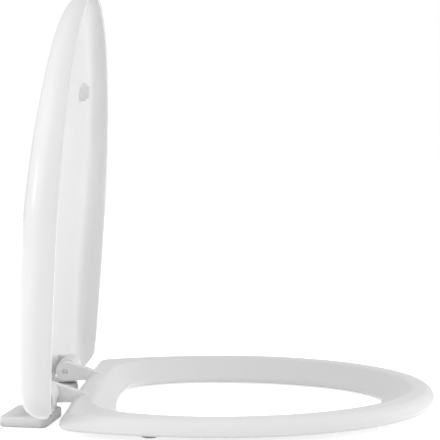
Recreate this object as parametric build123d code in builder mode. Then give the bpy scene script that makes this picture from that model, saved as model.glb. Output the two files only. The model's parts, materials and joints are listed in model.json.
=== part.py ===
from build123d import *
from math import asin, atan2, cos, degrees, radians, sin, sqrt
import os

# A soft-close toilet seat with a wrap-over lid. Millimetres.
# X runs along the hinge, the front of the seat points to -Y and Z is up.
# The origin lies on the bowl, midway between the two fixing holes.
# The lid is drawn closed and then turned about the hinge to its open stop.

# Fixing and hinge line
fixing_spacing = 155.0
hinge_ahead = 18.0
hinge_height = 25.5
post_spacing = 160.7
lid_open_angle = 86.5

# Lid, measured from the hinge line
lid_half_width = 187.0
lid_widest_at = 181.0
lid_reach = 418.0
lid_rear_half_width = 164.0
lid_rear_at = -6.0
lid_behind = 13.0
lid_corner_radius = 34.0
lid_wall = 4.0
lid_rim_height = 5.5
lid_crown_height = 54.5
lid_crown_at = 140.0
lid_crown_radius = 700.0
lid_front_height = 20.4
lid_shoulder_radius = 22.0
lid_heel_radius = 16.0
lid_heel_behind = 9.0
lid_rim_round = 1.2
lid_notch_half_width = 112.0
lid_notch_above_hinge = 13.0
lid_notch_depth = 21.0
lid_notch_radius = 8.0

# Seat ring, measured from the hinge line
ring_side_gap = 2.5
ring_front_gap = 5.0
ring_rear_half_width = 152.0
ring_rear_at = 24.0
ring_rear_bow = 1.0
ring_corner_radius = 20.0
ring_top = 23.0
ring_edge_bottom = 8.5
ring_lip_bottom = 1.5
ring_edge_radius = 13.0
ring_edge_round = 3.0
crest_inset = 26.0
crest_widest_at = 173.0
crest_rear_half_width = 118.0
crest_rear_at = 50.0
crest_corner_radius = 60.0
crest_radius = 16.0
ring_front_rail = 57.0
hole_half_width = 108.0
hole_widest_at = 165.0
hole_rear_half_width = 78.0
hole_rear_at = 74.0
hole_corner_radius = 40.0
hole_edge_top = 6.5
hole_edge_radius = 2.0
hole_rear_bow = 8.0
underside_margin = 14.0
lip_width = 4.0

# Lugs and knuckles on the hinge line
lug_radius = 9.5
lug_width = 10.0
knuckle_radius = 10.5
knuckle_width = 12.0
knuckle_arm_reach = 44.0
knuckle_arm_drop = 6.5
knuckle_arm_radius = 3.0
joint_gap = 0.5

# Hinge posts
post_length = 34.0
post_head_radius = 12.0
post_column_depth = 20.0
post_lift = 0.2
post_edge_radius = 1.5
post_end_wall = 6.0

# Rotary dampers
damper_radius = 7.0
damper_wall = 1.5
damper_floor = 2.5
damper_drum_radius = 4.0
damper_drum_length = 15.0
damper_vane = 2.0
damper_cap_thickness = 3.0
damper_key = 2.0
damper_key_height = 1.0
damper_recess = 0.4
spindle_radius = 3.0
spindle_flats = 4.4
spindle_short = 0.5
running_gap = 0.05
end_play = 0.3
seat_gap = 0.03
slot_gap = 0.1

# Plain pivots
pin_radius = 4.0
bush_radius = 5.5
pin_chamfer = 0.6

# Feet
foot_length = 56.0
foot_rear = 38.5
foot_front = 10.0
foot_thickness = 8.8
foot_pad_thickness = 1.2
foot_corner_radius = 6.0
foot_edge_radius = 2.0
foot_pad_inset = 1.0
insert_radius = 5.5
insert_length = 7.7
insert_bore_radius = 3.4
insert_pad_gap = 1.0

# Spigots and release latches
spigot_radius = 5.0
spigot_neck_radius = 3.5
spigot_root_radius = 4.0
spigot_root_length = 6.0
spigot_head_length = 3.2
latch_thickness = 3.5
latch_width = 14.0
latch_travel = 4.0
latch_reach = 4.5
latch_tail = 7.0
latch_slot_gap = 0.2
latch_neck_gap = 0.2
latch_head_gap = 0.3
latch_edge_radius = 1.0
spring_length = 6.0
spring_strip = 0.4
spring_height = 2.4
spring_half_width = 4.0
spring_folds = 4

# Soft buffers
lid_buffer_x = 112.0
lid_buffer_from_front = 95.0
lid_buffer_radius = 9.5
lid_buffer_tip_radius = 6.5
lid_buffer_round = 2.0
lid_boss_depth = 3.66
lid_boss_margin = 1.2
ring_buffer_radius = 9.0
ring_buffer_seat = 9.0
ring_buffer_peg_radius = 3.0
ring_buffer_peg_length = 5.0
ring_buffer_round = 1.5
ring_buffer_gap = 0.2
ring_front_buffer_x = 75.0
ring_front_buffer_inset = 64.0
ring_rear_buffer_x = 138.0
ring_rear_buffer_at = 110.0
rest_gap = 0.3

# Places that follow from the sizes above
post_x = post_spacing / 2
post_inner = post_x - post_length / 2
post_outer = post_x + post_length / 2
lug_start = post_outer + joint_gap
knuckle_start = post_inner - joint_gap - knuckle_width
foot_top = foot_thickness + foot_pad_thickness
foot_skew = degrees(atan2(post_x - fixing_spacing / 2, hinge_ahead))
foot_offset = sqrt((post_x - fixing_spacing / 2) ** 2 + hinge_ahead**2)
latch_bottom = foot_top + rest_gap
latch_top = latch_bottom + latch_thickness
spigot_head = latch_top + latch_head_gap
spigot_top = spigot_head + spigot_head_length
channel_inner = post_x - latch_tail - spring_length
cup_radius = damper_radius - damper_wall
seal_section = cup_radius - spindle_radius - running_gap - seat_gap
drum_start = damper_cap_thickness + seal_section + 2 * end_play
damper_length = drum_start + damper_drum_length + end_play + damper_floor
lid_front_run = lid_reach - lid_crown_at
lid_front_fall = lid_crown_height - lid_front_height
lid_ridge_radius = (lid_front_run**2 + lid_front_fall**2) / (2 * lid_front_fall)
ring_half_width = lid_half_width - lid_wall - ring_side_gap
ring_reach = lid_reach - lid_wall - ring_front_gap
hole_reach = ring_reach - ring_front_rail
lid_buffer_at = lid_reach - lid_buffer_from_front
ring_front_buffer_at = ring_reach - ring_front_buffer_inset
hinge_axis = Axis((0, -hinge_ahead, hinge_height), (1, 0, 0))
LEFT = -1
RIGHT = 1

os.makedirs("parts", exist_ok=True)


def ahead(distance):
    """The Y of a place this far in front of the hinge line."""
    return -hinge_ahead - distance


def save(part, name):
    """Name a finished piece and write it."""
    part.label = name
    export_step(part, f"parts/{name}.step")


def save_on_lid(part, name):
    """Turn a piece of the closed lid to the open stop and write it."""
    save(part.rotate(hinge_axis, -lid_open_angle), name)


def front_arc(half_width, widest_at, reach):
    """The half ellipse that rounds the front of an outline."""
    middle = (0, ahead(widest_at))
    return EllipticalCenterArc(middle, half_width, reach - widest_at, 180, arc_size=180)


def shield_outline(half_width, widest_at, reach, rear_half_width, rear_at, rear_middle, corner):
    """A seat's outline: half an ellipse in front, drawn-in sides and a bowed back edge."""
    back = (rear_half_width, ahead(rear_at))
    back_left = (-rear_half_width, ahead(rear_at))
    with BuildSketch() as outline:
        with BuildLine():
            add(front_arc(half_width, widest_at, reach))
            TangentArc((half_width, ahead(widest_at)), back, tangent=(0, 1))
            ThreePointArc(back, (0, ahead(rear_middle)), back_left)
            TangentArc((-half_width, ahead(widest_at)), back_left, tangent=(0, 1))
        make_face()
        fillet(outline.vertices().group_by(Axis.Y)[-1], radius=corner)
    return outline.sketch


def ring_outline(inset, widest_at, rear_half_width, rear_at, corner):
    """An outline inside the ring's edge, by this much at the sides and the front."""
    return shield_outline(
        ring_half_width - inset,
        widest_at,
        ring_reach - inset,
        rear_half_width,
        rear_at,
        rear_at - ring_rear_bow,
        corner,
    )


def hole_outline(margin):
    """The outline of the ring's hole, or one that surrounds it by a margin."""
    return shield_outline(
        hole_half_width + margin,
        hole_widest_at,
        hole_reach + margin,
        hole_rear_half_width + margin,
        hole_rear_at - margin,
        hole_rear_at - margin - hole_rear_bow,
        hole_corner_radius + margin,
    )


def crown_at(x, distance, inset):
    """The height of the closed lid's crown, or of the hollow's when inset by the wall."""
    crown = lid_crown_radius - inset
    across = lid_ridge_radius - inset - crown + sqrt(crown**2 - x**2)
    along = sqrt(across**2 - (distance - lid_crown_at) ** 2)
    return lid_rim_height + lid_crown_height - lid_ridge_radius + along


def lid_form(inset, rim):
    """The lid's closed form, or the hollow inside it when inset by the wall."""
    ridge = lid_ridge_radius - inset
    crown = lid_crown_radius - inset
    crown_centre = (
        0,
        ahead(lid_crown_at),
        lid_rim_height + lid_crown_height - lid_ridge_radius,
    )
    half_span = lid_half_width + lid_wall
    rear_angle = degrees(asin((lid_crown_at + lid_behind + lid_shoulder_radius) / ridge))
    front_angle = degrees(asin((lid_reach + lid_shoulder_radius - lid_crown_at) / ridge))
    section_plane = Plane(
        origin=crown_centre,
        x_dir=(1, 0, 0),
        z_dir=(0, -cos(radians(rear_angle)), sin(radians(rear_angle))),
    )
    edge_drop = crown - sqrt(crown**2 - half_span**2)
    floor = ridge - 3 * lid_crown_height
    with BuildPart() as form:
        with BuildSketch(Plane.XY.offset(rim)):
            add(
                shield_outline(
                    lid_half_width - inset,
                    lid_widest_at,
                    lid_reach - inset,
                    lid_rear_half_width - inset,
                    lid_rear_at + inset,
                    inset - lid_behind,
                    lid_corner_radius - inset,
                )
            )
        extrude(amount=2 * lid_crown_height)
        with BuildSketch(section_plane):
            with BuildLine():
                ThreePointArc(
                    (-half_span, ridge - edge_drop), (0, ridge), (half_span, ridge - edge_drop)
                )
                Polyline(
                    (half_span, ridge - edge_drop),
                    (half_span, floor),
                    (-half_span, floor),
                    (-half_span, ridge - edge_drop),
                )
            make_face()
        revolve(
            axis=Axis(crown_centre, (1, 0, 0)),
            revolution_arc=rear_angle + front_angle,
            mode=Mode.INTERSECT,
        )
        crown_face = form.faces().sort_by(Axis.Z)[-1]
        fillet(crown_face.edges(), radius=lid_shoulder_radius - inset)
    return form.part


def on_hinge(x):
    """A plane across the hinge line at x, centred on it, with its own Y upwards."""
    return Plane(origin=(x, -hinge_ahead, hinge_height), x_dir=(0, 1, 0), z_dir=(1, 0, 0))


def double_d(radius, flats):
    """A round section with two flats, for a driving spindle or the slot it turns."""
    with BuildSketch() as section:
        Circle(radius)
        Rectangle(2 * radius, flats, mode=Mode.INTERSECT)
    return section.sketch


def on_foot(side, height):
    """A foot's plane, centred on its spigot and turned so that +Y meets the fixing hole."""
    turn = radians(side * foot_skew)
    return Plane(
        origin=(side * post_x, -hinge_ahead, height),
        x_dir=(cos(turn), sin(turn), 0),
        z_dir=(0, 0, 1),
    )


def foot_outline(inset):
    """A foot's plan with rounded corners, drawn about its spigot."""
    with BuildSketch() as outline:
        with Locations((0, (foot_rear - foot_front) / 2)):
            RectangleRounded(
                foot_length - 2 * inset,
                foot_rear + foot_front - 2 * inset,
                foot_corner_radius - inset,
            )
    return outline.sketch


# Lid: a wrap-over shell, open below, notched at the back for the hinge
lid_outer = lid_form(0, lid_rim_height)
lid_hollow = lid_form(lid_wall, lid_rim_height - lid_wall)
spindle_slot = double_d(spindle_radius + slot_gap, spindle_flats + 2 * slot_gap)
lug_places = (-lug_start - lug_width, lug_start)
lid_buffer_boss = crown_at(lid_buffer_x, lid_buffer_at, lid_wall) - lid_boss_depth

with BuildPart() as lid_inside:
    for lug_x in lug_places:
        with BuildSketch(on_hinge(lug_x)):
            Circle(lug_radius)
            Rectangle(2 * lug_radius, lid_crown_height, align=(Align.CENTER, Align.MIN))
        extrude(amount=lug_width)
    for side in (LEFT, RIGHT):
        with BuildSketch(Plane.XY.offset(lid_buffer_boss)):
            with Locations((side * lid_buffer_x, ahead(lid_buffer_at))):
                Circle(lid_buffer_radius + lid_boss_margin)
        extrude(amount=lid_crown_height)
    add(lid_outer, mode=Mode.INTERSECT)

with BuildPart() as lid:
    add(lid_outer)
    add(lid_hollow, mode=Mode.SUBTRACT)
    fillet(lid.faces().sort_by(Axis.Z)[0].edges(), radius=lid_rim_round)
    heel_front = ahead(lid_heel_radius - lid_heel_behind)
    heel_back = ahead(-lid_heel_behind)
    heel_top = lid_rim_height + lid_heel_radius
    far_back = ahead(-2 * lid_behind)
    with BuildSketch(Plane.YZ.offset(-lid_half_width)):
        with BuildLine():
            RadiusArc((heel_front, lid_rim_height), (heel_back, heel_top), -lid_heel_radius)
            Polyline(
                (heel_back, heel_top),
                (far_back, heel_top),
                (far_back, 0),
                (heel_front, 0),
                (heel_front, lid_rim_height),
            )
        make_face()
    extrude(amount=2 * lid_half_width, mode=Mode.SUBTRACT)
    notch_top = hinge_height + lid_notch_above_hinge
    with BuildSketch(Plane.XZ.offset(-ahead(lid_notch_depth - lid_behind))) as notch:
        Rectangle(2 * lid_notch_half_width, 2 * notch_top)
        fillet(notch.vertices(), radius=lid_notch_radius)
    extrude(amount=-2 * lid_notch_depth, mode=Mode.SUBTRACT)
    add(lid_inside.part)
    with BuildSketch(on_hinge(lug_places[0])):
        add(spindle_slot)
    extrude(amount=lug_width, mode=Mode.SUBTRACT)
    with BuildSketch(on_hinge(lug_places[1])):
        Circle(bush_radius + seat_gap)
    extrude(amount=lug_width, mode=Mode.SUBTRACT)
save_on_lid(lid.part, "lid")

with BuildPart() as lid_buffers:
    buffer_height = lid_buffer_boss - ring_top - rest_gap
    buffer_taper = degrees(atan2(lid_buffer_radius - lid_buffer_tip_radius, buffer_height))
    for side in (LEFT, RIGHT):
        buffer_place = (side * lid_buffer_x, ahead(lid_buffer_at), lid_buffer_boss)
        with BuildSketch(Plane(origin=buffer_place, z_dir=(0, 0, -1))):
            Circle(lid_buffer_radius)
        extrude(amount=buffer_height, taper=buffer_taper)
    fillet(lid_buffers.faces().group_by(Axis.Z)[0].edges(), radius=lid_buffer_round)
save_on_lid(lid_buffers.part, "lid_buffers")

# Seat ring: a rounded outer edge, a crest and a slope down to the hole
hole = hole_outline(0)
knuckle_places = (-knuckle_start - knuckle_width, knuckle_start)
ring_buffer_places = [
    (side * x, ahead(distance))
    for side in (LEFT, RIGHT)
    for x, distance in (
        (ring_front_buffer_x, ring_front_buffer_at),
        (ring_rear_buffer_x, ring_rear_buffer_at),
    )
]

with BuildPart() as ring:
    with BuildSketch(Plane.XY.offset(ring_edge_bottom)):
        add(ring_outline(0, lid_widest_at, ring_rear_half_width, ring_rear_at, ring_corner_radius))
    extrude(amount=ring_top - ring_edge_bottom)
    fillet(ring.faces().sort_by(Axis.Z)[-1].edges(), radius=ring_edge_radius)
    fillet(ring.faces().sort_by(Axis.Z)[0].edges(), radius=ring_edge_round)
    with BuildSketch(Plane.XY.offset(ring_edge_bottom)):
        add(
            ring_outline(
                underside_margin,
                lid_widest_at,
                ring_rear_half_width - underside_margin,
                ring_rear_at + underside_margin,
                ring_corner_radius + underside_margin,
            )
        )
    with BuildSketch(Plane.XY.offset(ring_lip_bottom)):
        add(hole_outline(lip_width))
    loft(ruled=True)
    with BuildSketch(Plane.XY):
        add(hole)
    extrude(amount=ring_top, mode=Mode.SUBTRACT)
    with BuildSketch(Plane.XY.offset(ring_top)):
        add(
            ring_outline(
                crest_inset,
                crest_widest_at,
                crest_rear_half_width,
                crest_rear_at,
                crest_corner_radius,
            )
        )
    with BuildSketch(Plane.XY.offset(hole_edge_top)):
        add(hole)
    loft(ruled=True, mode=Mode.SUBTRACT)
    crest = ring.faces().filter_by(Plane.XY).sort_by(Axis.Z)[-1].inner_wires()[0]
    fillet(crest.edges(), radius=crest_radius)
    lip = ring.faces().filter_by(Plane.XY).sort_by(Axis.Z)[0].inner_wires()[0]
    hole_top = ring.edges().filter_by_position(Axis.Z, hole_edge_top, hole_edge_top)
    fillet(lip.edges() + hole_top, radius=hole_edge_radius)
    for knuckle_x in knuckle_places:
        with BuildSketch(on_hinge(knuckle_x)):
            Circle(knuckle_radius)
            with Locations((-knuckle_arm_reach, -knuckle_arm_drop)):
                Circle(knuckle_arm_radius)
            make_hull()
        extrude(amount=knuckle_width)
    with BuildSketch(on_hinge(knuckle_places[0])):
        Circle(bush_radius + seat_gap)
    extrude(amount=knuckle_width, mode=Mode.SUBTRACT)
    with BuildSketch(on_hinge(knuckle_places[1])):
        add(spindle_slot)
    extrude(amount=knuckle_width, mode=Mode.SUBTRACT)
    with BuildSketch(Plane.XY):
        with Locations(*ring_buffer_places):
            Circle(ring_buffer_radius + ring_buffer_gap)
    extrude(amount=ring_buffer_seat, mode=Mode.SUBTRACT)
    with BuildSketch(Plane.XY.offset(ring_buffer_seat)):
        with Locations(*ring_buffer_places):
            Circle(ring_buffer_peg_radius + seat_gap)
    extrude(amount=ring_buffer_peg_length, mode=Mode.SUBTRACT)
save(ring.part, "seat_ring")

with BuildPart() as ring_buffers:
    with BuildSketch(Plane.XY):
        with Locations(*ring_buffer_places):
            Circle(ring_buffer_radius)
    extrude(amount=ring_buffer_seat)
    fillet(ring_buffers.faces().group_by(Axis.Z)[0].edges(), radius=ring_buffer_round)
    with BuildSketch(Plane.XY.offset(ring_buffer_seat)):
        with Locations(*ring_buffer_places):
            Circle(ring_buffer_peg_radius)
    extrude(amount=ring_buffer_peg_length - ring_buffer_gap)
save(ring_buffers.part, "ring_buffers")

# Hinge posts: one moulding on both sides, with its latch channel facing outwards
post_bottom = foot_top + post_lift
for side, name in ((LEFT, "left"), (RIGHT, "right")):
    post_face = side * post_x - post_length / 2
    spigot_place = (side * post_x, -hinge_ahead)
    channel_length = post_outer - channel_inner
    channel_middle = side * (channel_inner + channel_length / 2)
    with BuildPart() as post:
        with BuildSketch(on_hinge(post_face)):
            Circle(post_head_radius)
            Rectangle(post_column_depth, hinge_height - post_bottom, align=(Align.CENTER, Align.MAX))
        extrude(amount=post_length)
        ends = post.faces().filter_by(Axis.X)
        fillet(ends.edges(), radius=post_edge_radius)
        with BuildSketch(on_hinge(post_face)):
            Circle(damper_radius + seat_gap)
            with Locations((0, damper_radius)):
                Rectangle(damper_key + 2 * slot_gap, 2 * (damper_key_height + slot_gap))
        extrude(amount=damper_recess + damper_length, mode=Mode.SUBTRACT)
        with BuildSketch(on_hinge(post_face + post_length)):
            Circle(pin_radius + seat_gap)
        extrude(amount=-post_end_wall, mode=Mode.SUBTRACT)
        with BuildSketch(Plane.XY.offset(post_bottom)):
            with Locations(spigot_place):
                Circle(spigot_radius + running_gap)
        extrude(amount=spigot_top + slot_gap - post_bottom, mode=Mode.SUBTRACT)
        with BuildSketch(Plane.XY.offset(post_bottom)):
            with Locations((channel_middle, -hinge_ahead)):
                Rectangle(channel_length, latch_width + 2 * latch_slot_gap)
        extrude(amount=latch_top + latch_slot_gap - post_bottom, mode=Mode.SUBTRACT)
    save(post.part, f"post_{name}")

    latch_inner = post_x - latch_tail
    latch_length = post_outer + latch_reach - latch_inner
    with BuildPart() as button:
        with BuildSketch(Plane.XY.offset(latch_bottom)):
            with Locations((side * (latch_inner + latch_length / 2), -hinge_ahead)):
                Rectangle(latch_length, latch_width)
            with Locations(spigot_place):
                Circle(spigot_neck_radius + latch_neck_gap, mode=Mode.SUBTRACT)
            with Locations((side * (post_x + latch_travel / 2), -hinge_ahead)):
                Rectangle(
                    latch_travel, 2 * (spigot_neck_radius + latch_neck_gap), mode=Mode.SUBTRACT
                )
            with Locations((side * (post_x + latch_travel), -hinge_ahead)):
                Circle(spigot_radius + latch_head_gap, mode=Mode.SUBTRACT)
        extrude(amount=latch_thickness)
        outer_end = button.faces().sort_by(Axis.X)[0 if side == LEFT else -1]
        fillet(outer_end.edges(), radius=latch_edge_radius)
    save(button.part, f"release_button_{name}")

    with BuildPart() as spring:
        fold = (spring_length - 2 * rest_gap) / spring_folds
        with BuildSketch(Plane.XY.offset(latch_bottom + (latch_thickness - spring_height) / 2)):
            with BuildLine() as zigzag:
                Polyline(
                    *[
                        (
                            side * (channel_inner + rest_gap + fold * step),
                            -hinge_ahead + spring_half_width * (-1) ** step,
                        )
                        for step in range(spring_folds + 1)
                    ]
                )
            trace(zigzag.line, spring_strip)
        extrude(amount=spring_height)
    save(spring.part, f"latch_spring_{name}")

    with BuildPart() as foot:
        with BuildSketch(on_foot(side, foot_pad_thickness)):
            add(foot_outline(0))
        extrude(amount=foot_thickness)
        fillet(foot.faces().sort_by(Axis.Z)[-1].edges(), radius=foot_edge_radius)
        with BuildSketch(on_foot(side, foot_top)):
            Circle(spigot_root_radius + seat_gap)
        extrude(amount=-spigot_root_length, mode=Mode.SUBTRACT)
        with BuildSketch(on_foot(side, 0)):
            with Locations((0, foot_offset)):
                Circle(insert_radius + seat_gap)
        extrude(amount=insert_length, mode=Mode.SUBTRACT)
    save(foot.part, f"foot_{name}")

    with BuildPart() as pad:
        with BuildSketch(on_foot(side, 0)):
            add(foot_outline(foot_pad_inset))
            with Locations((0, foot_offset)):
                Circle(insert_radius + insert_pad_gap, mode=Mode.SUBTRACT)
        extrude(amount=foot_pad_thickness)
    save(pad.part, f"foot_pad_{name}")

    with BuildPart() as insert:
        with BuildSketch(on_foot(side, 0)):
            with Locations((0, foot_offset)):
                Circle(insert_radius)
                Circle(insert_bore_radius, mode=Mode.SUBTRACT)
        extrude(amount=insert_length)
    save(insert.part, f"insert_{name}")

    with BuildPart() as spigot:
        with BuildSketch(on_foot(side, foot_top - spigot_root_length)):
            Circle(spigot_root_radius)
        extrude(amount=spigot_root_length)
        with BuildSketch(on_foot(side, foot_top)):
            Circle(spigot_neck_radius)
        extrude(amount=spigot_head - foot_top)
        with BuildSketch(on_foot(side, spigot_head)):
            Circle(spigot_radius)
        extrude(amount=spigot_head_length)
        chamfer(spigot.faces().sort_by(Axis.Z)[-1].edges(), length=pin_chamfer)
    save(spigot.part, f"spigot_{name}")

# Rotary dampers: a keyed cup in the post and a vane that the lid or the ring turns
for name, post_face, driven_width in (
    ("lid", -post_outer, lug_width),
    ("ring", post_inner, knuckle_width),
):
    cup_face = post_face + damper_recess
    with BuildPart() as housing:
        with BuildSketch(on_hinge(cup_face)):
            Circle(damper_radius)
            with Locations((0, damper_radius)):
                Rectangle(damper_key, 2 * damper_key_height)
        extrude(amount=damper_length)
        with BuildSketch(on_hinge(cup_face)):
            Circle(cup_radius)
        extrude(amount=damper_length - damper_floor, mode=Mode.SUBTRACT)
    save(housing.part, f"{name}_damper_housing")

    with BuildPart() as cap:
        with BuildSketch(on_hinge(cup_face)):
            Circle(cup_radius - seat_gap)
            Circle(spindle_radius + running_gap, mode=Mode.SUBTRACT)
        extrude(amount=damper_cap_thickness)
    save(cap.part, f"{name}_damper_cap")

    seal_middle = cup_face + damper_cap_thickness + end_play + seal_section / 2
    with BuildPart(on_hinge(seal_middle)) as seal:
        Torus(spindle_radius + running_gap + seal_section / 2, seal_section / 2)
    save(seal.part, f"{name}_damper_seal")

    driven_face = post_face - joint_gap
    with BuildPart() as rotor:
        with BuildSketch(on_hinge(driven_face - driven_width + spindle_short)):
            add(double_d(spindle_radius, spindle_flats))
        extrude(amount=driven_width - spindle_short)
        with BuildSketch(on_hinge(driven_face)):
            Circle(spindle_radius)
        extrude(amount=cup_face + drum_start - driven_face)
        with BuildSketch(on_hinge(cup_face + drum_start)):
            Circle(damper_drum_radius)
            Rectangle(damper_vane, 2 * (cup_radius - slot_gap))
        extrude(amount=damper_drum_length)
    if name == "lid":
        save_on_lid(rotor.part, "lid_damper_rotor")
    else:
        save(rotor.part, "ring_damper_rotor")

# Plain pivots at the other ends of the posts
for name, post_face, driven_width in (
    ("ring", -post_inner, knuckle_width),
    ("lid", post_outer, lug_width),
):
    with BuildPart() as pin:
        with BuildSketch(on_hinge(post_face - post_end_wall)):
            Circle(pin_radius)
        extrude(amount=post_end_wall + joint_gap + driven_width)
        chamfer(pin.faces().filter_by(Axis.X).edges(), length=pin_chamfer)
    save(pin.part, f"{name}_pivot_pin")

    with BuildPart() as bush:
        with BuildSketch(on_hinge(post_face + joint_gap)):
            Circle(bush_radius)
            Circle(pin_radius + running_gap, mode=Mode.SUBTRACT)
        extrude(amount=driven_width)
    save(bush.part, f"{name}_bush")
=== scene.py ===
"""A white soft-close toilet seat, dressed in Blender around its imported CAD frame.

Sizes are in millimetres. Places on the seat are (x, ahead, z): x runs along the hinge,
ahead is the distance in front of the hinge line and z is the height above the bowl.
Meshes are in metres, in the frame's own axes, where the front points to -Y.
"""

from __future__ import annotations

import json
import logging
import math
from abc import ABC, abstractmethod
from dataclasses import dataclass, field
from enum import Enum
from typing import Any, Sequence

import bmesh
import bpy
import numpy as np
from mathutils import Euler, Matrix, Vector

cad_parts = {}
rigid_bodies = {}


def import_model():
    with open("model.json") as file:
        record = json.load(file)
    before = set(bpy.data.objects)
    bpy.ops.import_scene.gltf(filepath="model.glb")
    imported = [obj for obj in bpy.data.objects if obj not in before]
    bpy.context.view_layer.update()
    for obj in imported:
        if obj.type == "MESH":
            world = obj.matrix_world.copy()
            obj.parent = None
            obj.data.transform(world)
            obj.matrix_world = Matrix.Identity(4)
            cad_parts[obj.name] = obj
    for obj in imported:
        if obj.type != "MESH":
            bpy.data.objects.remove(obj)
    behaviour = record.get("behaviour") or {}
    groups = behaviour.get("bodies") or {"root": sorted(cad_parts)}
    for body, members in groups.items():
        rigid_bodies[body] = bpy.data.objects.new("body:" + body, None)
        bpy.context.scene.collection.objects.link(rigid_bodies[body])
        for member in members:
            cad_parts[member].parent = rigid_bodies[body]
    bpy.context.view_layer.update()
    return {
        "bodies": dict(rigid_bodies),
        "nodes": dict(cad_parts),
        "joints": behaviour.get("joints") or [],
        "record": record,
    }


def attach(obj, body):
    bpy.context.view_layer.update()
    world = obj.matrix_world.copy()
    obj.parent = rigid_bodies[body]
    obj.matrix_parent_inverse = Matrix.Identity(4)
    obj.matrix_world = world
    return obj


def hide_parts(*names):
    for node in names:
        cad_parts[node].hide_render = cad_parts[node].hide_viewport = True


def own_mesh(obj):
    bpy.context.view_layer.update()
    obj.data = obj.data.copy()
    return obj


log = logging.getLogger("toilet_seat")

MM = 0.001
QUARTER = math.pi / 2
WHITE = (1.0, 1.0, 1.0, 1.0)

# How far tools reach past the faces that they cut, in millimetres.
OVERRUN = 1.0
TOOL_MARGIN = 10.0
TOOL_DEPTH = 60.0

# Points nearer than this are merged, in metres, and edges sharper than these angles stay sharp.
MERGE_GAP = 2e-6
SHARP_ANGLE = 32.0
STUD_ANGLE = 40.0

# Faces with more corners than this are split into triangles.
MOST_CORNERS = 4

# The attribute that marks the points of the lid's crown, and its value elsewhere.
CROWN_MARK = "crown_inset"
OFF_CROWN = -1.0

# Places along a line of the seat, and what belongs to each, such as its inward normal.
Curve = tuple[np.ndarray, np.ndarray]


class Side(Enum):
    """The two sides of the seat, by the sign of x."""

    LEFT = -1
    RIGHT = 1

    @property
    def word(self) -> str:
        """The side's word in the names of nodes, bodies and joints."""
        return self.name.lower()


class Cut(Enum):
    """What a tool does to the piece it meets."""

    ADD = "UNION"
    TAKE = "DIFFERENCE"
    KEEP = "INTERSECT"


class Grain(Enum):
    """The surface pattern that a finish has."""

    MOULDED = "moulded_skin"
    TURNED = "lathe_lines"


@dataclass(frozen=True)
class LoopSteps:
    """How finely each stretch of a seat outline is divided."""

    front: int = 84
    side: int = 18
    corner: int = 14
    rear: int = 16


@dataclass(frozen=True)
class ArcSteps:
    """How many points each rounded edge gets."""

    buffer: int = 7
    notch: int = 9
    flat_end: int = 12
    toe: int = 14
    heel: int = 17
    lug: int = 33
    knuckle: int = 40
    full: int = 64


ARCS = ArcSteps()


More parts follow.
